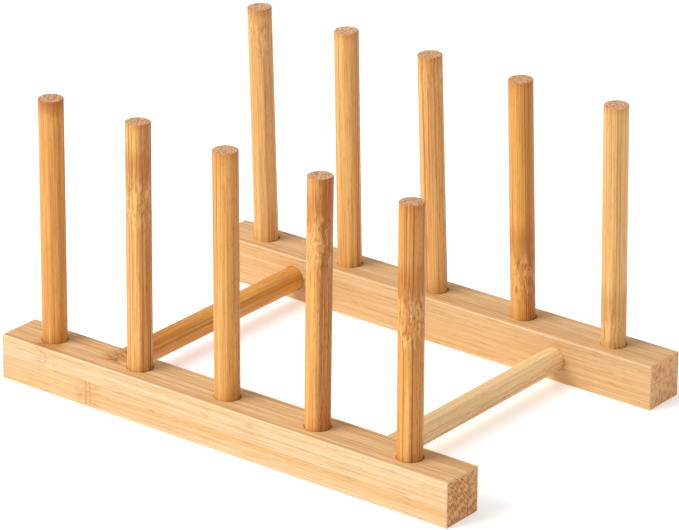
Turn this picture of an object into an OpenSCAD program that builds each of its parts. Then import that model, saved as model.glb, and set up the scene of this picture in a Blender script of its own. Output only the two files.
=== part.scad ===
// Dish drying rack of bamboo bars and dowels.
// Two square rails lie on the table and two rungs join them. Five pegs stand in each rail, and plates stand
// on edge in the slots between neighbouring pegs, with their rims dipping between the rails.
// +X runs along the rails to the right end, +Y from the front rail to the back rail, and +Z is up.
// The origin is on the table, under the middle of the rack. Lengths are in millimetres, angles in degrees.

/* [Rails] */
// Length of each rail
rail_length = 255; // [250:1:300]
// Width of a rail from front to back
rail_width = 23; // [20:0.5:30]
// Height of a rail
rail_height = 22; // [20:0.5:30]
// Width of the whole rack, over both rails
rack_width = 180; // [150:1:220]
// Chamfer that eases every edge of a rail
rail_ease = 0.6; // [0.3:0.1:1.5]

/* [Pegs] */
// Diameter of a peg
peg_diameter = 11.8; // [10:0.1:12]
// Height of a peg above its rail
peg_height = 118.5; // [90:0.5:140]
// Distance between neighbouring pegs in a rail
peg_pitch = 51; // [40:0.5:51]
// Distance from a rail's left end to its first peg
first_peg = 22.5; // [15:0.5:24]
// Chamfer round each end of a peg or rung
dowel_ease = 0.5; // [0.2:0.1:1]

/* [Peg sockets] */
// Diameter of the blind holes that the pegs stand in, loose enough for a peg to lean a little
peg_socket_diameter = 12.5; // [12.4:0.1:13]
// Depth of those holes
peg_socket_depth = 14; // [12:1:16]

/* [Peg leans] */
// Lean of the front pegs towards the right end, from left to right
front_lean_right = [0, -0.7, -0.3, -0.3, -1.2]; // [-1.2:0.1:1.2]
// Lean of the front pegs towards the back
front_lean_back = [-0.2, 0.7, -0.4, 0.6, 0.9]; // [-1.2:0.1:1.2]
// Lean of the back pegs towards the right end, from left to right
back_lean_right = [-1.6, -1, -1.5, -1.1, -0.3]; // [-1.6:0.1:1.6]
// Lean of the back pegs towards the back
back_lean_back = [-0.9, -1, -1.7, -1.9, -1.8]; // [-1.9:0.1:1.9]

/* [Rungs] */
// Diameter of a rung
rung_diameter = 11.8; // [10:0.1:12]
// Diameter of the blind holes that the rungs are glued into
rung_socket_diameter = 12; // [12:0.1:12.4]
// Depth of those holes
rung_socket_depth = 12; // [8:1:14]

/* [Hidden] */
// Segments round a circle
$fn = 96;
// Gap left at the bottom of a socket, so that the wood never overlaps
floor_gap = 0.05;
// How far a cutting tool runs past the surface that it cuts
overrun = 1;
// Distance from the rack's middle to the middle of a rail
rail_offset = (rack_width - rail_width) / 2;
// Length of a peg, from the bottom of its socket to its top
peg_length = peg_height + peg_socket_depth;
// Width of the well between the rails
well_width = rack_width - 2 * rail_width;
// Length of a rung, which stops just short of the bottom of both sockets
rung_length = well_width + 2 * (rung_socket_depth - floor_gap);
// Places of the pegs along a rail
peg_x = [for (i = [0:len(front_lean_right) - 1]) first_peg - rail_length / 2 + i * peg_pitch];
// Places of the rungs, midway between the first two pegs and midway between the last two
left_rung_x = (peg_x[0] + peg_x[1]) / 2;
right_rung_x = (peg_x[3] + peg_x[4]) / 2;
// Colours of the bamboo
rail_colour = [0.93, 0.78, 0.55];
peg_colour = [0.86, 0.66, 0.41];
rung_colour = [0.84, 0.64, 0.38];

// A rectangle of a by b about the origin, with its four corners cut off by e
module eased_rectangle(a, b, e) {
    x = a / 2;
    y = b / 2;
    polygon([
        [x, y - e], [x - e, y], [e - x, y], [-x, y - e],
        [-x, e - y], [e - x, -y], [x - e, -y], [x, e - y]
    ]);
}

// A bar about the origin with all twelve edges eased: what its three eased outlines have in common
module eased_bar(length, width, height, e) {
    intersection() {
        rotate([90, 0, 90])
            linear_extrude(length, center = true)
                eased_rectangle(width, height, e);
        rotate([90, 0, 0])
            linear_extrude(width, center = true)
                eased_rectangle(length, height, e);
        linear_extrude(height, center = true)
            eased_rectangle(length, width, e);
    }
}

// A round dowel that stands on the origin, with both ends eased
module dowel(diameter, length) {
    r = diameter / 2;
    e = dowel_ease;
    rotate_extrude()
        polygon([[0, 0], [r - e, 0], [r, e], [r, length - e], [r - e, length], [0, length]]);
}

// A rail that lies on the table at the origin, with its rung sockets in the face that looks towards +Y
module rail() {
    difference() {
        translate([0, 0, rail_height / 2])
            eased_bar(rail_length, rail_width, rail_height, rail_ease);
        for (x = peg_x)
            translate([x, 0, rail_height - peg_socket_depth])
                cylinder(d = peg_socket_diameter, h = peg_socket_depth + overrun);
        for (x = [left_rung_x, right_rung_x])
            translate([x, rail_width / 2 - rung_socket_depth, rail_height / 2])
                rotate([-90, 0, 0])
                    cylinder(d = rung_socket_diameter, h = rung_socket_depth + overrun);
    }
}

// A peg at the origin in the plan of its rail, leaning about the middle of its socket. It stands on its lowest edge.
module peg(lean_right, lean_back) {
    lean = norm([lean_right, lean_back]);
    lift = peg_diameter / 2 * sin(lean) + floor_gap;
    half_depth = peg_socket_depth / 2;
    translate([0, 0, rail_height - half_depth])
        rotate([-lean_back, lean_right, 0])
            translate([0, 0, lift - half_depth])
                dowel(peg_diameter, peg_length);
}

// A rung that runs from rail to rail at the place x
module rung(x) {
    translate([x, -rung_length / 2, rail_height / 2])
        rotate([-90, 0, 0])
            dowel(rung_diameter, rung_length);
}

module front_rail() {
    color(rail_colour)
        translate([0, -rail_offset, 0])
            rail();
}

module back_rail() {
    color(rail_colour)
        translate([0, rail_offset, 0])
            mirror([0, 1, 0])
                rail();
}

module front_peg(i) {
    color(peg_colour)
        translate([peg_x[i], -rail_offset, 0])
            peg(front_lean_right[i], front_lean_back[i]);
}

module back_peg(i) {
    color(peg_colour)
        translate([peg_x[i], rail_offset, 0])
            peg(back_lean_right[i], back_lean_back[i]);
}

module left_rung() {
    color(rung_colour)
        rung(left_rung_x);
}

module right_rung() {
    color(rung_colour)
        rung(right_rung_x);
}

front_rail();
back_rail();
for (i = [0:len(peg_x) - 1]) {
    front_peg(i);
    back_peg(i);
}
left_rung();
right_rung();
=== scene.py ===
# %% [markdown]
# # A bamboo plate rack
#
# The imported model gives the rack's frame: two square rails, two round rungs and ten pegs, each at its
# true size and place. This lesson keeps those places and makes the pieces that are seen, with rounded
# edges, drilled sockets and bamboo that has fibres, joints and cut ends. Lengths are in metres, so a
# value in millimetres is multiplied by MM.

# %% Load the frame
import math

import bmesh
import bpy
from mathutils import Matrix, Quaternion, Vector


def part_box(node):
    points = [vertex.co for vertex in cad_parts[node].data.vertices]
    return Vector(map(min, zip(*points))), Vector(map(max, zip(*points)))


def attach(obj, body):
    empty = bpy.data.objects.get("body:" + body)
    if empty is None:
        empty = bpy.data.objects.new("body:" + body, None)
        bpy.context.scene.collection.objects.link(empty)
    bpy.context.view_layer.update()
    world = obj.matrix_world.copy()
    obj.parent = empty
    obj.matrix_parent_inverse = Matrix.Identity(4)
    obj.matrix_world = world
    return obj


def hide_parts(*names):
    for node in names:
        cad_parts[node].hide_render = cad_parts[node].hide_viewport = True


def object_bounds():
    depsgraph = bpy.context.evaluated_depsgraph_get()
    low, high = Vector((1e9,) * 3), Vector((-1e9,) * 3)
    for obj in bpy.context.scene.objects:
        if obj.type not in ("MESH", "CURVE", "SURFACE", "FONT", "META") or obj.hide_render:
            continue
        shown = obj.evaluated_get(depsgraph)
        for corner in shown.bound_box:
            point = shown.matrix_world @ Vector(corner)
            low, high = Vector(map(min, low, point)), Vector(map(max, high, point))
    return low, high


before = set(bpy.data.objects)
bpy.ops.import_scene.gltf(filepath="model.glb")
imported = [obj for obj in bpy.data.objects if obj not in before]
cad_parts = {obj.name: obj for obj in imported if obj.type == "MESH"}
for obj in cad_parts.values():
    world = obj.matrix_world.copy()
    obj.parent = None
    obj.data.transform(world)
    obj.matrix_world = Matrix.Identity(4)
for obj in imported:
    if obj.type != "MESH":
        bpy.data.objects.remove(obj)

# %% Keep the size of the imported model
MM = 0.001
cad_low, cad_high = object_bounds()
print("The packed rack measures", [round(side / MM, 1) for side in cad_high - cad_low], "mm")

# %% [markdown]
# ## Shader maths that reads as Python
#
# A material is a tree of nodes, and a formula of ten steps is ten nodes and their links. Building them
# one by one hides the formula. So a Wire stands for one output of a node and answers to +, -, * and /,
# and a Graph adds any other node.

# %% A wire between shader nodes
class Wire:
    """One output of a shader node. Arithmetic on it adds Math nodes."""

    def __init__(self, graph, socket):
        self.graph = graph
        self.socket = socket

    def maths(self, operation, *values):
        return self.graph.node("ShaderNodeMath", {"operation": operation}, dict(enumerate(values)))

    def __add__(self, other):
        return self.maths("ADD", self, other)

    def __radd__(self, other):
        return self.maths("ADD", other, self)

    def __sub__(self, other):
        return self.maths("SUBTRACT", self, other)

    def __rsub__(self, other):
        return self.maths("SUBTRACT", other, self)

    def __mul__(self, other):
        return self.maths("MULTIPLY", self, other)

    def __rmul__(self, other):
        return self.maths("MULTIPLY", other, self)

    def __truediv__(self, other):
        return self.maths("DIVIDE", self, other)

    def __abs__(self):
        return self.maths("ABSOLUTE", self)

    def floor(self):
        return self.maths("FLOOR", self)

    def rise(self, low, high):
        """0 below low, 1 above high, and a smooth step between them."""
        values = {"Value": self, "From Min": low, "From Max": high}
        return self.graph.node("ShaderNodeMapRange", {"interpolation_type": "SMOOTHSTEP"}, values)


# %% A graph that holds a material's nodes
class Graph:
    """The nodes of one new material."""

    def __init__(self, name):
        self.material = bpy.data.materials.new(name)
        self.material.use_nodes = True
        self.tree = self.material.node_tree
        self.tree.nodes.clear()

    def node(self, kind, settings=None, inputs=None, output=0):
        """Adds a node. Its settings are set first, and then its sockets get their values or links."""
        node = self.tree.nodes.new(kind)
        for name, value in (settings or {}).items():
            setattr(node, name, value)
        for name, value in (inputs or {}).items():
            if isinstance(value, Wire):
                self.tree.links.new(value.socket, node.inputs[name])
            else:
                node.inputs[name].default_value = value
        return Wire(self, node.outputs[output]) if node.outputs else None

    def parts(self, vector):
        """The X, Y and Z of a vector."""
        first = self.node("ShaderNodeSeparateXYZ", None, {"Vector": vector})
        return [Wire(self, socket) for socket in first.socket.node.outputs]

    def vector(self, x, y, z):
        return self.node("ShaderNodeCombineXYZ", None, {"X": x, "Y": y, "Z": z})

    def shift(self, vector, by):
        return self.node("ShaderNodeVectorMath", {"operation": "ADD"}, {0: vector, 1: by})

    def scale(self, vector, factor):
        values = {"Vector": vector, "Scale": factor}
        return self.node("ShaderNodeVectorMath", {"operation": "SCALE"}, values)

    def stretch(self, vector, width, length, seed=0.0):
        """Coordinates in which a feature of that width and length, in millimetres, is one unit across."""
        place = (seed, seed, seed)
        scale = (1 / width, 1 / width, 1 / length)
        return self.node("ShaderNodeMapping", None, {"Vector": vector, "Location": place, "Scale": scale})

    def noise(self, vector, detail=2.0, output="Fac"):
        values = {"Vector": vector, "Scale": 1.0, "Detail": detail}
        return self.node("ShaderNodeTexNoise", None, values, output)

    def streaks(self, vector, width, length, low, high, seed=0.0):
        """A mask of fibres: 0 where the stretched noise is below low, and 1 where it is above high."""
        return self.noise(self.stretch(vector, width, length, seed), detail=1.5).rise(low, high)

    def bundles(self, vector, width, length, inner, outer, seed=0.0, disorder=0.85):
        """A mask of fibre bundles: 1 inside a bundle. inner and outer are shares of their spacing."""
        placed = self.stretch(vector, width, length, seed)
        values = {"Vector": placed, "Scale": 1.0, "Randomness": disorder}
        return 1.0 - self.node("ShaderNodeTexVoronoi", None, values, "Distance").rise(inner, outer)

    def bend(self, vector, width, length, reach):
        """Pushes coordinates about by up to reach millimetres, so that fibres swirl."""
        swirl = self.noise(self.stretch(vector, width, length), detail=2.0, output="Color")
        push = self.shift(swirl, (-0.5, -0.5, -0.5))
        return self.shift(vector, self.scale(push, reach))

    def mix(self, factor, first, second):
        """Mixes two colours. The numbers stand for the Mix node's sockets for colours."""
        settings = {"data_type": "RGBA", "blend_type": "MIX", "clamp_factor": True}
        return self.node("ShaderNodeMix", settings, {0: factor, 6: first, 7: second}, 2)

    def finish(self, colour, roughness, height, depth, gloss):
        """Joins the colour, roughness and surface height to a shader. depth is in metres."""
        bump = self.node("ShaderNodeBump", None, {"Distance": depth, "Height": height})
        values = {"Base Color": colour, "Roughness": roughness, "Normal": bump, "Specular IOR Level": gloss}
        shader = self.node("ShaderNodeBsdfPrincipled", None, values)
        self.node("ShaderNodeOutputMaterial", None, {"Surface": shader})
        return self.material


# %% [markdown]
# ## Colours
#
# A colour is easiest to pick as the paint code that a screen shows, but Blender's shaders work with
# linear light. So each code is turned into linear light once, here.

# %% Turn a paint code into linear light
def paint(code):
    """A colour code such as "e8b878" as linear red, green, blue and alpha, by the sRGB curve."""
    linear = []
    for start in (0, 2, 4):
        shown = int(code[start:start + 2], 16) / 255
        linear.append(shown / 12.92 if shown <= 0.04045 else ((shown + 0.055) / 1.055) ** 2.4)
    return (*linear, 1.0)


# %% [markdown]
# ## Where the grain runs
#
# Bamboo is a bundle of straight fibres, so every pattern on it follows the length of the piece. Each
# piece therefore carries an attribute called grain: its own coordinates in millimetres, with Z along the
# fibres. The rails lie along X, the rungs along Y and the pegs lean a little, and yet one pattern fits
# them all. The same fibres that make long lines on a side make dots on a cut end, as they do in real
# bamboo. Lengths along the grain are therefore plain millimetres. Only the depth of a surface's relief is
# in metres.

# %% Read the grain coordinates in a material
def grain_of(graph):
    return graph.node("ShaderNodeAttribute", {"attribute_name": "grain"}, None, "Vector")


# %% [markdown]
# ## Bamboo for the round dowels
#
# A dowel is turned from one strip of bamboo. Its side shows long stripes: broad ones where the tone
# changes through the cane's wall, and fine ones where the surface cuts along fibre bundles. The bundles
# are crowded on the side that was nearest the cane's skin, so that side is darker and more lined. That
# side is always set away from the key light, on the shaded sides of the pegs and rungs, so its brown is
# partly the skin and partly painted shade. Where the cane had a joint, the fibres swirl, light and dark
# flecks cross the dowel, and the wood above the joint is browner. The light flecks there are partly the
# joint's own pale flecks and partly painted glints. The swirl comes from pushing the coordinates about
# near the joint's height.
#
# The colour is built up like paint, from the ground to the finest flecks. In each mix, the number beside a
# mask is the share of the new colour that the mask lays on at most.

# %% What makes one dowel differ from another
class DowelLook:
    """tone: 0 pale to 1 deep. lines: how clear the bundles are. joint: its height in millimetres, and
    strength: how clear it is. The two arguments after strength: how dark the side nearest the cane's
    outer rind is, and the angle in degrees that it looks to. That side is always set away from the key
    light, so its brown is partly painted shade. cream: how much of the dowel is soft pale wood from the
    inside of the cane's wall. The last argument: how much browner the wood is just under the top."""

    def __init__(self, tone, lines=0.5, joint=0.0, strength=0.0, skin=0.3, skin_and_shade_angle=20.0, cream=0.0,
                 top_darkening=0.1):
        self.tone = tone
        self.cream = cream
        self.top_darkening = top_darkening
        self.lines = lines
        self.joint = joint
        self.strength = strength
        turn = math.radians(skin_and_shade_angle)
        self.skin = skin
        self.skin_and_shade_way = (math.cos(turn), math.sin(turn), 0.0)


# %% Colours of the dowels
PALE_WOOD = paint("eebe76")
PALE_BAND = paint("dfa356")
DEEP_WOOD = paint("e5a34d")
DEEP_BAND = paint("c47a2f")
CREAM_WOOD = paint("fbdaa2")
BRIGHT_FIBRE = paint("f2ca8c")
DULL_FIBRE = paint("c47c34")
SKIN_AND_SHADE_BROWN = paint("9c5422")
BUNDLE_BROWN = paint("8f4b18")
HAIR_BROWN = paint("a05c24")
FLECK_BROWN = paint("7c421a")
ZONE_BROWN = paint("a8601f")
FLAME_AND_GLINT = paint("f0c88c")
FLAME_SHADOW = paint("9c5a26")
TOP_BROWN = paint("ab5c24")
PALE_END = paint("dfb082")
DEEP_END = paint("c58a56")
CLOUDY_END = paint("bd8455")
END_PORE = paint("f0d6b8")
END_DOT = paint("74401f")
print("Pale dowel wood in linear light:", [round(part, 3) for part in PALE_WOOD[:3]])

# %% The side of a dowel
DOWEL_RADIUS = 5.9
SWIRL_CORE = 4.0
SWIRL_REACH = 18.0
SWIRL_PUSH = 5.0
BROWN_ZONE_UP = 16.0
BROWN_ZONE_CORE = 3.0
BROWN_ZONE_REACH = 12.0
BROWN_ZONE_RAGGED = 26.0
SKIN_AND_SHADE_STARTS = 0.45
SKIN_AND_SHADE_FULL = 0.95
SKIN_AND_SHADE_RAGGED = 0.7
RIM_STARTS = 3.5
RIM_FULL = 0.6
TOP_DARK_STARTS = 9.0
TOP_DARK_FULL = 3.0
TOP_DARK_RAGGED = 12.0
WOOD_RELIEF = 0.05 * MM
SATIN = 0.25
RAW = 0.2


def dowel_side(name, look, length, piece_of_cane):
    """Bamboo for a dowel of that length in millimetres. Each dowel is cut from its own piece of cane."""
    graph = Graph(name)
    local = grain_of(graph)
    along = graph.parts(local)[2]
    grain = graph.shift(local, piece_of_cane)
    height = along - look.joint
    near = look.strength * (1.0 - abs(height).rise(SWIRL_CORE, SWIRL_REACH))
    bent = graph.bend(grain, width=3.4, length=7.0, reach=near * SWIRL_PUSH)
    # The side nearest the cane's skin is darker and browner. Its direction is always set away from the key
    # light, so this brown is partly the real skin side and partly painted shade.
    towards_skin_and_shade = graph.node("ShaderNodeVectorMath", {"operation": "DOT_PRODUCT"},
                              {0: local, 1: look.skin_and_shade_way}, "Value")
    skin_and_shade_side = towards_skin_and_shade / DOWEL_RADIUS
    ragged = graph.noise(graph.stretch(grain, width=1.3, length=32.0, seed=5.0)) - 0.5
    skin = (skin_and_shade_side + ragged * SKIN_AND_SHADE_RAGGED).rise(SKIN_AND_SHADE_STARTS, SKIN_AND_SHADE_FULL) * look.skin
    broad = graph.streaks(bent, width=2.6, length=120.0, low=0.34, high=0.66)
    lines = graph.streaks(bent, width=0.8, length=80.0, low=0.42, high=0.64, seed=7.0)
    bright = graph.streaks(bent, width=0.9, length=60.0, low=0.52, high=0.72, seed=3.0)
    bundles = graph.bundles(bent, width=1.25, length=500.0, inner=0.2, outer=0.4, seed=2.0)
    hairs = graph.streaks(bent, width=0.5, length=16.0, low=0.54, high=0.7, seed=11.0)
    flecks = graph.streaks(bent, width=0.55, length=3.5, low=0.56, high=0.7, seed=4.0)
    pale = graph.mix(look.tone, PALE_WOOD, DEEP_WOOD)
    deep = graph.mix(look.tone, PALE_BAND, DEEP_BAND)
    colour = graph.mix(broad * 0.7, pale, deep)
    colour = graph.mix(look.cream, colour, CREAM_WOOD)
    colour = graph.mix(bright * 0.35, colour, BRIGHT_FIBRE)
    colour = graph.mix(lines * (0.42 - 0.2 * look.cream), colour, DULL_FIBRE)
    # The brown of the skin side, partly painted shade on the side away from the key light.
    colour = graph.mix(skin * (0.5 + 0.4 * lines), colour, SKIN_AND_SHADE_BROWN)
    bundle_depth = 0.17 + look.lines * 0.6 - 0.13 * look.cream
    colour = graph.mix(bundles * bundle_depth, colour, BUNDLE_BROWN)
    colour = graph.mix(hairs * (0.35 - 0.25 * look.cream), colour, HAIR_BROWN)
    colour = graph.mix(flecks * (0.14 + 0.5 * skin + 0.12 * near), colour, FLECK_BROWN)
    zone_height = height - BROWN_ZONE_UP + ragged * BROWN_ZONE_RAGGED
    zone = 1.0 - abs(zone_height).rise(BROWN_ZONE_CORE, BROWN_ZONE_REACH)
    colour = graph.mix(zone * look.strength * (0.5 + 0.3 * lines), colour, ZONE_BROWN)
    # Pale flames cross the joint: partly the joint's own pale flecks, partly painted glints of the swirled
    # fibres.
    flames_and_glints = graph.streaks(bent, width=1.3, length=8.0, low=0.5, high=0.62, seed=9.0) * near
    colour = graph.mix(flames_and_glints * 0.5, colour, FLAME_AND_GLINT)
    shadows = graph.streaks(bent, width=1.1, length=7.0, low=0.52, high=0.64, seed=13.0) * near
    colour = graph.mix(shadows * 0.45, colour, FLAME_SHADOW)
    # The top few millimetres of every dowel are a little browner, and a ragged band under the top is
    # browner still on some dowels.
    rim = along.rise(length - RIM_STARTS, length - RIM_FULL)
    top_darkening = (along + ragged * TOP_DARK_RAGGED).rise(length - TOP_DARK_STARTS, length - TOP_DARK_FULL)
    colour = graph.mix(rim * 0.2 + top_darkening * look.top_darkening, colour, TOP_BROWN)
    relief = 0.5 * lines + 0.6 * bundles + 0.4 * hairs + 0.5 * flecks
    roughness = 0.42 + lines * 0.1 + flecks * 0.12
    return graph.finish(colour, roughness, 1.0 - relief, WOOD_RELIEF, SATIN)


# %% The cut end of a dowel
def dowel_end(name, look, piece_of_cane):
    """Speckled end grain, in which each dot is a fibre bundle that is cut across."""
    graph = Graph(name)
    grain = graph.shift(grain_of(graph), piece_of_cane)
    dots = graph.bundles(grain, width=1.1, length=40.0, inner=0.24, outer=0.44, seed=2.0)
    pores = graph.streaks(grain, width=0.7, length=40.0, low=0.5, high=0.62, seed=6.0)
    clouds = graph.streaks(grain, width=2.6, length=40.0, low=0.35, high=0.65)
    ground = graph.mix(look.tone, PALE_END, DEEP_END)
    colour = graph.mix(clouds * 0.35, ground, CLOUDY_END)
    colour = graph.mix(pores * 0.55, colour, END_PORE)
    colour = graph.mix(dots * 0.8, colour, END_DOT)
    return graph.finish(colour, 0.62 + dots * 0.1, 1.0 - dots, WOOD_RELIEF, RAW)


# %% [markdown]
# ## Bamboo for the square rails
#
# A rail is glued up from strips, three across its width and two over its height. Each strip has its own
# tone and its own fibres. A joint of the cane crosses a strip as a dark ring. It lies in one place on the
# outer strips and in another on the two inner ones, and the upper row has it nearer the left end than the
# lower row. A strip's number comes from rounding the coordinates down, and a white-noise node turns that
# number into the strip's tone.

# %% Strips of a glued bar
STRIPS_ACROSS = 3
STRIP_WIDTH = 7.7
SEAM_HEIGHT = 1.5
SEAM_STARTS = 0.465
SEAM_FULL = 0.495
LEVEL_SEAM_CORE = 0.05
LEVEL_SEAM_REACH = 0.3
ROW_STEP = 0.02
PATTERN_SLICE = 0.5
JOINT_FIRST = -75.7
JOINT_STEP_UP = -27.0
JOINT_STEP_IN = 34.0


class Strips:
    """What a material needs to know of the strips: their number and tone, the seams between them, and how
    far along from a joint each place is."""

    def __init__(self, graph, grain):
        self.across, self.up, along = graph.parts(grain)
        place = self.across / STRIP_WIDTH + STRIPS_ACROSS / 2
        column = place.floor()
        self.row = self.up.rise(SEAM_HEIGHT, SEAM_HEIGHT + ROW_STEP)
        self.number = graph.vector(column, self.row, PATTERN_SLICE)
        self.tone = graph.node("ShaderNodeTexWhiteNoise", {"noise_dimensions": "3D"},
                               {"Vector": self.number})
        beside = 1.0 - abs(place - column - 0.5).rise(SEAM_STARTS, SEAM_FULL)
        self.seam = 1.0 - beside * abs(self.up - SEAM_HEIGHT).rise(LEVEL_SEAM_CORE, LEVEL_SEAM_REACH)
        inner = column.rise(0.2, 0.8)  # 0 on the outer strips and 1 on the two inner ones
        self.joint = along - (JOINT_FIRST + self.row * JOINT_STEP_UP + inner * JOINT_STEP_IN)


# %% Colours of the rails
CREAMY_FACE = paint("ebd3aa")
GOLDEN_FACE = paint("e7c08a")
LOWER_STRIP = paint("e2b67a")
CREAMY_TOP = paint("e4bc88")
GOLDEN_TOP = paint("e6be8c")
CREAMY_BAND = paint("deb26e")
GOLDEN_BAND = paint("d79f58")
TOP_BAND = paint("cd9454")
BRIGHT_ON_FACE = paint("f0deba")
BRIGHT_ON_TOP = paint("edca98")
LINE_ON_FACE = paint("d29c54")
LINE_ON_TOP = paint("b27232")
RAIL_HAIR = paint("ab692c")
RAIL_DASH = paint("94561f")
JOINT_RING = paint("b06f35")
JOINT_HALO = paint("c4853f")
JOINT_FLECK = paint("96561f")
LAYER_BROWN = paint("955a22")
SEAM_BROWN = paint("a9692f")
EDGE_HIGHLIGHT_AND_WEAR = paint("f4dcb4")
DEEP_SAWN = paint("c98f58")
PALE_SAWN = paint("dba674")
CLOUDY_SAWN = paint("b67b45")
SAWN_LIGHT = paint("e9bb88")
SAWN_DASH = paint("824a20")
SAWN_SEAM = paint("7d4b27")
print("A creamy rail face in linear light:", [round(part, 3) for part in CREAMY_FACE[:3]])

# %% The long faces of a rail
RAIL_HALF_WIDTH = 11.5
RAIL_HALF_HEIGHT = 11.0
DENSE_LAYER = 9.6
DENSE_LAYER_CORE = 0.2
DENSE_LAYER_REACH = 0.55
EDGE_STARTS = 0.7
EDGE_FULL = 0.3
STRIP_SHIFT = 37.0
JOINT_CORE = 1.0
JOINT_REACH = 9.0
JOINT_PUSH = 3.2
JOINT_WOBBLE = 2.0
RING_RADIUS = 1.2
RING_CORE = 0.2
RING_REACH = 0.7
HALO_CORE = 3.0
HALO_REACH = 11.0
TOP_STARTS = 0.5
TOP_FULL = 0.85


def rail_side(name, warmth):
    """Bamboo for a rail's long faces. warmth is from 0, creamy, to 1, golden."""
    graph = Graph(name)
    grain = grain_of(graph)
    strips = Strips(graph, grain)
    own = graph.shift(grain, graph.scale(strips.number, STRIP_SHIFT))
    near = 1.0 - abs(strips.joint).rise(JOINT_CORE, JOINT_REACH)
    bent = graph.bend(own, width=2.4, length=6.0, reach=near * JOINT_PUSH)
    broad = graph.streaks(bent, width=2.6, length=160.0, low=0.36, high=0.64)
    lines = graph.streaks(bent, width=0.7, length=110.0, low=0.46, high=0.64, seed=4.0)
    bright = graph.streaks(bent, width=0.85, length=80.0, low=0.5, high=0.66, seed=6.0)
    hairs = graph.streaks(bent, width=0.5, length=26.0, low=0.54, high=0.66, seed=9.0)
    dashes = graph.streaks(bent, width=0.6, length=8.0, low=0.6, high=0.72, seed=2.0)
    flecks = graph.streaks(bent, width=0.8, length=2.4, low=0.46, high=0.6, seed=3.0)
    normal = graph.node("ShaderNodeNewGeometry", None, None, "Normal")
    flat = abs(graph.parts(normal)[2]).rise(TOP_STARTS, TOP_FULL)
    pale = graph.mix(warmth, CREAMY_FACE, GOLDEN_FACE)
    pale = graph.mix((1.0 - strips.row) * 0.28, pale, LOWER_STRIP)
    ground = graph.mix(flat, pale, graph.mix(warmth, CREAMY_TOP, GOLDEN_TOP))
    deep = graph.mix(flat, graph.mix(warmth, CREAMY_BAND, GOLDEN_BAND), TOP_BAND)
    colour = graph.mix(broad * (0.24 + 0.34 * strips.tone), ground, deep)
    colour = graph.mix(bright * 0.4, colour, graph.mix(flat, BRIGHT_ON_FACE, BRIGHT_ON_TOP))
    colour = graph.mix(lines * (0.32 + flat * 0.12), colour, graph.mix(flat, LINE_ON_FACE, LINE_ON_TOP))
    colour = graph.mix(hairs * (0.3 + flat * 0.15), colour, RAIL_HAIR)
    colour = graph.mix(dashes * 0.3, colour, RAIL_DASH)
    wobble = graph.noise(graph.stretch(own, width=2.5, length=20.0)) - 0.5
    from_joint = abs(strips.joint + wobble * JOINT_WOBBLE)
    ring = 1.0 - abs(from_joint - RING_RADIUS).rise(RING_CORE, RING_REACH)
    strength = 1.0 - 0.65 * strips.row * (1.0 - flat)
    colour = graph.mix(ring * strength * 0.34 * (1.0 - 0.6 * flat), colour, JOINT_RING)
    halo = (1.0 - abs(strips.joint).rise(HALO_CORE, HALO_REACH)) * strength
    colour = graph.mix(halo * (0.2 + 0.3 * flat), colour, JOINT_HALO)
    colour = graph.mix(flecks * near * (0.12 + 0.7 * flat), colour, JOINT_FLECK)
    layer = 1.0 - abs(strips.across + DENSE_LAYER).rise(DENSE_LAYER_CORE, DENSE_LAYER_REACH)
    colour = graph.mix(layer * flat * (0.2 + 0.4 * dashes + 0.2 * lines), colour, LAYER_BROWN)
    colour = graph.mix(strips.seam * (0.25 + 0.2 * flat), colour, SEAM_BROWN)
    # The four long edges are painted lighter: a painted highlight along the rounded edges, and partly
    # sanded wear.
    edge = abs(strips.across).rise(RAIL_HALF_WIDTH - EDGE_STARTS, RAIL_HALF_WIDTH - EDGE_FULL)
    edge_highlight_and_wear = edge * abs(strips.up).rise(RAIL_HALF_HEIGHT - EDGE_STARTS, RAIL_HALF_HEIGHT - EDGE_FULL)
    colour = graph.mix(edge_highlight_and_wear * 0.4, colour, EDGE_HIGHLIGHT_AND_WEAR)
    relief = 0.5 * lines + 0.5 * hairs + 0.4 * dashes + 0.6 * strips.seam + 0.4 * ring
    roughness = 0.46 + lines * 0.1 + hairs * 0.08
    return graph.finish(colour, roughness, 1.0 - relief, WOOD_RELIEF, SATIN)


# %% The sawn end of a rail
DASH_TURN = 0.95
DASH_TURN_SPREAD = 0.45
DASH_LENGTH = 5.0
DASH_WIDTH = 0.78
SAWN_RELIEF = 0.06 * MM


def rail_end(name, paleness):
    """End grain. The cut bundles are short dashes, which slant a little differently in each strip. paleness
    is from 0, deep, to 1, pale."""
    graph = Graph(name)
    grain = grain_of(graph)
    strips = Strips(graph, grain)
    angle = DASH_TURN + (strips.tone - 0.5) * DASH_TURN_SPREAD
    turned = graph.node("ShaderNodeVectorRotate", {"rotation_type": "Z_AXIS"},
                        {"Vector": grain, "Angle": angle})
    across, up, along = graph.parts(turned)
    lengthened = graph.vector(across / DASH_LENGTH, up, along)
    dots = graph.bundles(lengthened, DASH_WIDTH, length=400.0, inner=0.2, outer=0.4, disorder=0.6)
    light = 1.0 - graph.bundles(lengthened, DASH_WIDTH, length=400.0, inner=0.44, outer=0.6, disorder=0.6)
    clouds = graph.streaks(grain, width=5.0, length=40.0, low=0.35, high=0.65)
    ground = graph.mix(paleness, DEEP_SAWN, PALE_SAWN)
    colour = graph.mix(clouds * 0.45, ground, CLOUDY_SAWN)
    colour = graph.mix(light * 0.5, colour, SAWN_LIGHT)
    colour = graph.mix(dots * 0.65, colour, SAWN_DASH)
    colour = graph.mix(strips.seam * 0.4, colour, SAWN_SEAM)
    return graph.finish(colour, 0.66 + dots * 0.1, 1.0 - dots, SAWN_RELIEF, RAW)


# %% [markdown]
# ## From a bmesh to a piece
#
# Every piece ends in the same way. Its faces are turned outwards, its grain attribute is already on its
# vertices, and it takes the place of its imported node. The faces are shaded smooth, and the Weighted
# Normal modifier lets the large flat faces keep their own direction, so that only the narrow rounded
# edges look round.

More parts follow.
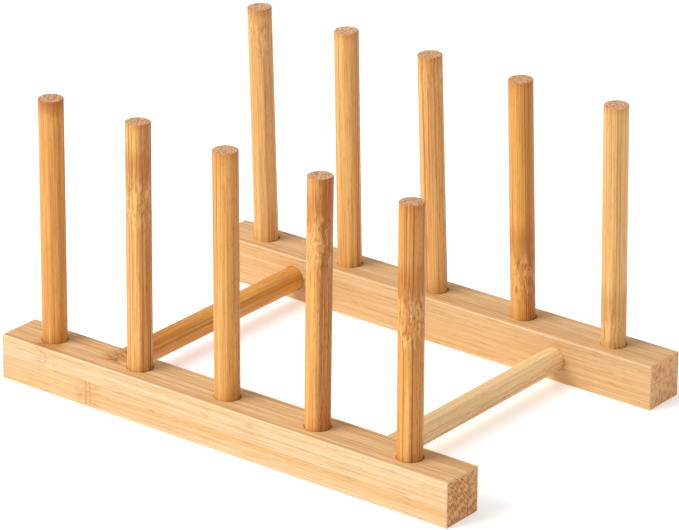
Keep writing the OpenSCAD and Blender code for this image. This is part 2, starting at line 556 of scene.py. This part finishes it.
# %% Turn a bmesh into a piece
def make_piece(name, bm, materials, node):
    """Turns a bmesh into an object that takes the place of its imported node."""
    bmesh.ops.recalc_face_normals(bm, faces=bm.faces)
    mesh = bpy.data.meshes.new(name)
    bm.to_mesh(mesh)
    bm.free()
    for material in materials:
        mesh.materials.append(material)
    mesh.polygons.foreach_set("use_smooth", [True] * len(mesh.polygons))
    piece = bpy.data.objects.new(name, mesh)
    bpy.context.scene.collection.objects.link(piece)
    weighted = piece.modifiers.new("Weighted normals", "WEIGHTED_NORMAL")
    weighted.keep_sharp = True
    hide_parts(node)
    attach(piece, "root")
    print(name, "has", len(mesh.polygons), "faces")


# %% [markdown]
# ## Round dowels
#
# A peg or a rung is a turned dowel whose two rims are eased with sandpaper. It starts as a cone operator
# with equal radii, stands upright in its own grain coordinates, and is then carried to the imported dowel's
# axis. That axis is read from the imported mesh, so that each peg keeps its own slight lean.

# %% Find the axis of a packed dowel
SAME_PLACE_DIGITS = 7


def dowel_axis(node):
    """The middle of each end of a packed dowel, and its radius. Vertices that share a place count once."""
    spots = {tuple(round(c, SAME_PLACE_DIGITS) for c in v.co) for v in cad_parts[node].data.vertices}
    spots = [Vector(spot) for spot in sorted(spots)]
    low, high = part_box(node)
    size = high - low
    way = max(range(3), key=lambda i: size[i])
    middle = (low + high) / 2
    halves = [[s for s in spots if (s[way] > middle[way]) == upper] for upper in (False, True)]
    first, last = [sum(half, Vector()) / len(half) for half in halves]
    direction = (last - first).normalized()
    reaches = [(s - first).dot(direction) for s in spots]
    radius = max((s - first - direction * r).length for s, r in zip(spots, reaches))
    return first + direction * min(reaches), first + direction * max(reaches), radius


# %% Make a dowel
DOWEL_SIDES = 72
RIM_ROUND = 0.45 * MM
RIM_STEPS = 4
CANE_STEP = Vector((31.0, 17.0, 0.0))


def make_dowel(node, look, number):
    """A dowel in the place of a packed one. Its number picks its own piece of cane."""
    start, stop, radius = dowel_axis(node)
    length = (stop - start).length
    bm = bmesh.new()
    bmesh.ops.create_cone(bm, cap_ends=True, segments=DOWEL_SIDES, radius1=radius, radius2=radius,
                          depth=length)
    bmesh.ops.translate(bm, vec=(0, 0, length / 2), verts=bm.verts)
    caps = [face for face in bm.faces if len(face.verts) == DOWEL_SIDES]
    for face in caps:
        face.material_index = 1
    rims = [edge for face in caps for edge in face.edges]
    bmesh.ops.bevel(bm, geom=rims, offset=RIM_ROUND, offset_type="OFFSET", segments=RIM_STEPS, profile=0.5,
                    affect="EDGES", material=0)
    grain = bm.verts.layers.float_vector.new("grain")
    for vert in bm.verts:
        vert[grain] = vert.co / MM
    turn = Vector((0, 0, 1)).rotation_difference(stop - start).to_matrix().to_4x4()
    bmesh.ops.transform(bm, matrix=Matrix.Translation(start) @ turn, verts=bm.verts)
    piece_of_cane = CANE_STEP * number
    side = dowel_side(node + "_side", look, length / MM, piece_of_cane)
    end = dowel_end(node + "_end", look, piece_of_cane)
    make_piece(node + "_dowel", bm, [side, end], node)


# %% [markdown]
# ## The ten pegs and two rungs
#
# No two dowels are alike, because each was cut from another place of the cane. Each gets a look of its
# own: how deep its tone is, how clear its lines are, where its joint is and which way its skin side
# faces. The skin side always looks away from the key light, so its brown is partly painted shade.

# %% Make the pegs
PEG_LOOKS = {
    "front_peg_1": DowelLook(tone=0.75, lines=0.25, skin=0.35, top_darkening=0.6),
    "front_peg_2": DowelLook(tone=0.55, lines=0.5, joint=96.0, strength=0.75,
                             skin=0.7, skin_and_shade_angle=10.0, cream=0.1),
    "front_peg_3": DowelLook(tone=0.55, lines=0.8, skin=0.5),
    "front_peg_4": DowelLook(tone=0.6, lines=0.35, joint=103.0, strength=0.9,
                             skin=0.85, skin_and_shade_angle=-12.0),
    "front_peg_5": DowelLook(tone=0.8, lines=1.0, joint=80.0, strength=0.95, skin=0.55, skin_and_shade_angle=-12.0),
    "back_peg_1": DowelLook(tone=0.5, lines=0.3, joint=122.0, strength=0.6, skin=0.35, cream=0.25),
    "back_peg_2": DowelLook(tone=0.25, lines=0.5, skin=0.3),
    "back_peg_3": DowelLook(tone=0.6, lines=0.5, joint=126.0, strength=0.4, skin=0.4, cream=0.15),
    "back_peg_4": DowelLook(tone=0.7, lines=0.6, joint=36.0, strength=0.7, skin=0.5),
    "back_peg_5": DowelLook(tone=0.45, lines=0.4, joint=19.0, strength=0.5,
                            skin=0.3, skin_and_shade_angle=100.0, cream=0.25),
}
for number, (node, look) in enumerate(PEG_LOOKS.items(), start=1):
    make_dowel(node, look, number)

# %% Make the rungs
FIRST_RUNG_CANE = 21
RUNG_LOOKS = {
    "left_rung": DowelLook(tone=1.0, lines=0.15, skin=0.35, skin_and_shade_angle=60.0),
    "right_rung": DowelLook(tone=0.1, lines=0.0, skin=0.55, skin_and_shade_angle=30.0, cream=0.9),
}
for number, (node, look) in enumerate(RUNG_LOOKS.items(), start=FIRST_RUNG_CANE):
    make_dowel(node, look, number)

# %% [markdown]
# ## Drilling a blind socket without a Boolean
#
# A Boolean would cut the hole, but it leaves long thin faces that shade badly. Here the flat face is cut
# to a small square round the socket, and the square's sides are divided. An inset makes a ring of the
# same number of points, which are moved onto a circle, and the inner face is extruded down to make the
# hole. The faces stay regular, and the rim can be rounded.

# %% Find the flat face round a place
SAME_WAY = 0.99
SAME_LEVEL = 0.1 * MM


def face_at(bm, place, outward):
    """The flat face that looks outward and holds that place."""
    bm.normal_update()
    for face in bm.faces:
        level = abs((face.calc_center_median() - place).dot(outward))
        if face.normal.dot(outward) > SAME_WAY and level < SAME_LEVEL:
            if bmesh.geometry.intersect_face_point(face, place):
                return face
    raise ValueError("no flat face there")


# %% Drill a socket
SOCKET_SIDES = 64
SOCKET_MARGIN = 1.0 * MM
SOCKET_RIM = 0.08 * MM
SOCKET_RIM_STEPS = 2


def drill(bm, place, outward, radius, depth):
    """Sinks a round blind hole into the flat face round place, which looks outward."""
    side = Vector((1, 0, 0))
    up = outward.cross(side)
    for way in (side, -side, up, -up):
        face = face_at(bm, place, outward)
        bmesh.ops.bisect_plane(bm, geom=[face, *face.edges, *face.verts],
                               plane_co=place + way * (radius + SOCKET_MARGIN), plane_no=way)
    cell = face_at(bm, place, outward)
    bmesh.ops.bisect_edges(bm, edges=list(cell.edges), cuts=SOCKET_SIDES // 4 - 1)
    bmesh.ops.inset_individual(bm, faces=[cell], thickness=SOCKET_MARGIN / 2)
    ring = list(cell.verts)
    corner = max(range(len(ring)), key=lambda i: round((ring[i].co - place).length, SAME_PLACE_DIGITS))
    spoke = (ring[corner].co - place).normalized() * radius
    for i, vert in enumerate(ring):
        turn = Matrix.Rotation(2 * math.pi * (i - corner) / len(ring), 3, outward)
        vert.co = place + turn @ spoke
    rim = list(cell.edges)
    bottom = bmesh.ops.extrude_discrete_faces(bm, faces=[cell])["faces"][0]
    bmesh.ops.translate(bm, vec=-outward * depth, verts=list(bottom.verts))
    bmesh.ops.bevel(bm, geom=rim, offset=SOCKET_RIM, offset_type="OFFSET", segments=SOCKET_RIM_STEPS,
                    profile=0.5, affect="EDGES", material=-1)


# %% [markdown]
# ## The two rails
#
# A rail is a sawn bar with sanded edges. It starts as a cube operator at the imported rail's size, its
# twelve edges are rounded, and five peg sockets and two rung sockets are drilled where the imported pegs
# and rungs meet it. The back rail is turned round, so that its rung sockets look at the front rail's.

# %% Make a rail
EDGE_ROUND = 0.5 * MM
EDGE_STEPS = 4
PEG_SOCKET_RADIUS = 6.25 * MM
PEG_SOCKET_DEPTH = 14 * MM
RUNG_SOCKET_RADIUS = 6 * MM
RUNG_SOCKET_DEPTH = 12 * MM
END_ON = 0.999
SAWN_END_AREA = (10 * MM) ** 2


def make_rail(node, pegs, inward, side, end, shift):
    """A rail with its sockets. Its rung sockets look inward, and shift moves its bamboo along."""
    low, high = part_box(node)
    middle = (low + high) / 2
    bm = bmesh.new()
    bmesh.ops.create_cube(bm, size=1)
    bmesh.ops.scale(bm, vec=high - low, verts=bm.verts)
    bmesh.ops.translate(bm, vec=middle, verts=bm.verts)
    bmesh.ops.bevel(bm, geom=bm.edges[:], offset=EDGE_ROUND, offset_type="OFFSET", segments=EDGE_STEPS,
                    profile=0.5, affect="EDGES", material=-1)
    for peg in pegs:
        start, stop, _ = dowel_axis(peg)
        lean = (stop - start).normalized()
        pivot = start + lean * ((high.z - PEG_SOCKET_DEPTH / 2 - start.z) / lean.z)
        mouth = Vector((pivot.x, pivot.y, high.z))
        drill(bm, mouth, Vector((0, 0, 1)), PEG_SOCKET_RADIUS, PEG_SOCKET_DEPTH)
    face_y = high.y if inward.y > 0 else low.y
    for rung in ("left_rung", "right_rung"):
        rung_low, rung_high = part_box(rung)
        rung_middle = (rung_low + rung_high) / 2
        mouth = Vector((rung_middle.x, face_y, rung_middle.z))
        drill(bm, mouth, inward, RUNG_SOCKET_RADIUS, RUNG_SOCKET_DEPTH)
    bmesh.ops.recalc_face_normals(bm, faces=bm.faces)
    for face in bm.faces:
        if abs(face.normal.x) > END_ON and face.calc_area() > SAWN_END_AREA:
            face.material_index = 1
    grain = bm.verts.layers.float_vector.new("grain")
    for vert in bm.verts:
        place = (vert.co - middle) / MM
        vert[grain] = (place.y * inward.y, place.z, place.x + shift)
    make_piece(node + "_bar", bm, [side, end], node)


make_rail("front_rail", [name for name in PEG_LOOKS if name.startswith("front")], Vector((0, 1, 0)),
          rail_side("front_rail_side", warmth=0.0), rail_end("front_rail_end", paleness=0.1), shift=0.0)
make_rail("back_rail", [name for name in PEG_LOOKS if name.startswith("back")], Vector((0, -1, 0)),
          rail_side("back_rail_side", warmth=0.8), rail_end("back_rail_end", paleness=0.5), shift=170.0)

# %% [markdown]
# ## Floor, light and camera
#
# The rack stands on a plain pale floor. A large soft light from the front left makes the front faces
# bright and lets the pegs turn darker towards the right. A weak one overhead reaches the rungs between
# the rails, and an even pale surround fills the shadows.

# %% A pale floor
FLOOR_HALF = 4.0
WHITE = (1.0, 1.0, 1.0, 1.0)
PALE_PAPER = (0.93, 0.93, 0.93, 1.0)
GREY_PAPER = (0.9, 0.9, 0.9, 1.0)
PAPER_GLOW = 0.35
bm = bmesh.new()
bmesh.ops.create_grid(bm, x_segments=2, y_segments=2, size=FLOOR_HALF)
floor_mesh = bpy.data.meshes.new("floor")
bm.to_mesh(floor_mesh)
bm.free()
floor = bpy.data.objects.new("floor", floor_mesh)
bpy.context.scene.collection.objects.link(floor)
graph = Graph("floor_paper")
grey = graph.noise(graph.node("ShaderNodeTexCoord", None, None, "Object"))
paper = graph.mix(grey * 0.1, PALE_PAPER, GREY_PAPER)
shader = graph.node("ShaderNodeBsdfPrincipled", None,
                    {"Base Color": paper, "Roughness": 0.9, "Specular IOR Level": 0.1,
                     "Emission Color": WHITE, "Emission Strength": PAPER_GLOW})
graph.node("ShaderNodeOutputMaterial", None, {"Surface": shader})
floor_mesh.materials.append(graph.material)
print("The floor is", 2 * FLOOR_HALF, "m wide")

# %% Directions out from the rack
def direction(azimuth, elevation):
    """The way out at those angles in degrees. Azimuth 0 is to the front, and 90 is to the right."""
    turn, rise = math.radians(azimuth), math.radians(elevation)
    return Vector((math.sin(turn) * math.cos(rise), -math.cos(turn) * math.cos(rise), math.sin(rise)))


# %% Soft surround, key light and overhead light
SURROUND_STRENGTH = 0.5
world = bpy.data.worlds.new("surround")
bpy.context.scene.world = world
world.use_nodes = True
world.node_tree.nodes["Background"].inputs["Color"].default_value = WHITE
world.node_tree.nodes["Background"].inputs["Strength"].default_value = SURROUND_STRENGTH


def soft_light(name, azimuth, elevation, distance, size, watts):
    """A square light that looks at the middle of the rack."""
    towards = direction(azimuth, elevation)
    lamp = bpy.data.lights.new(name, "AREA")
    lamp.size = size
    lamp.energy = watts
    holder = bpy.data.objects.new(name, lamp)
    holder.location = (cad_low + cad_high) / 2 + towards * distance
    holder.rotation_euler = towards.to_track_quat("Z", "Y").to_euler()
    bpy.context.scene.collection.objects.link(holder)
    print("The", name, "light stands", distance, "m away and gives", watts, "W")


soft_light("key", azimuth=-38, elevation=40, distance=4.0, size=2.4, watts=137)
soft_light("overhead", azimuth=-38, elevation=80, distance=4.0, size=2.4, watts=20)

# %% A camera far back with a long lens
AZIMUTH = 37.32
ELEVATION = 22.79
ROLL = 0.61
DISTANCE = 2.0536
LENS = 238.6
SENSOR_WIDTH = 36
CLIP_END = 50
AIM = Vector((1.6, -2.9, 62.2)) * MM
back = direction(AZIMUTH, ELEVATION)
camera = bpy.data.objects.new("camera", bpy.data.cameras.new("camera"))
camera.data.lens = LENS
camera.data.sensor_width = SENSOR_WIDTH
camera.data.clip_end = CLIP_END
camera.location = AIM + back * DISTANCE
camera.rotation_mode = "QUATERNION"
camera.rotation_quaternion = (-back).to_track_quat("-Z", "Y") @ Quaternion((0, 0, 1), math.radians(ROLL))
bpy.context.scene.collection.objects.link(camera)
bpy.context.scene.camera = camera
bpy.context.scene.view_settings.view_transform = "Standard"
print("The camera stands", DISTANCE, "m from where it looks")
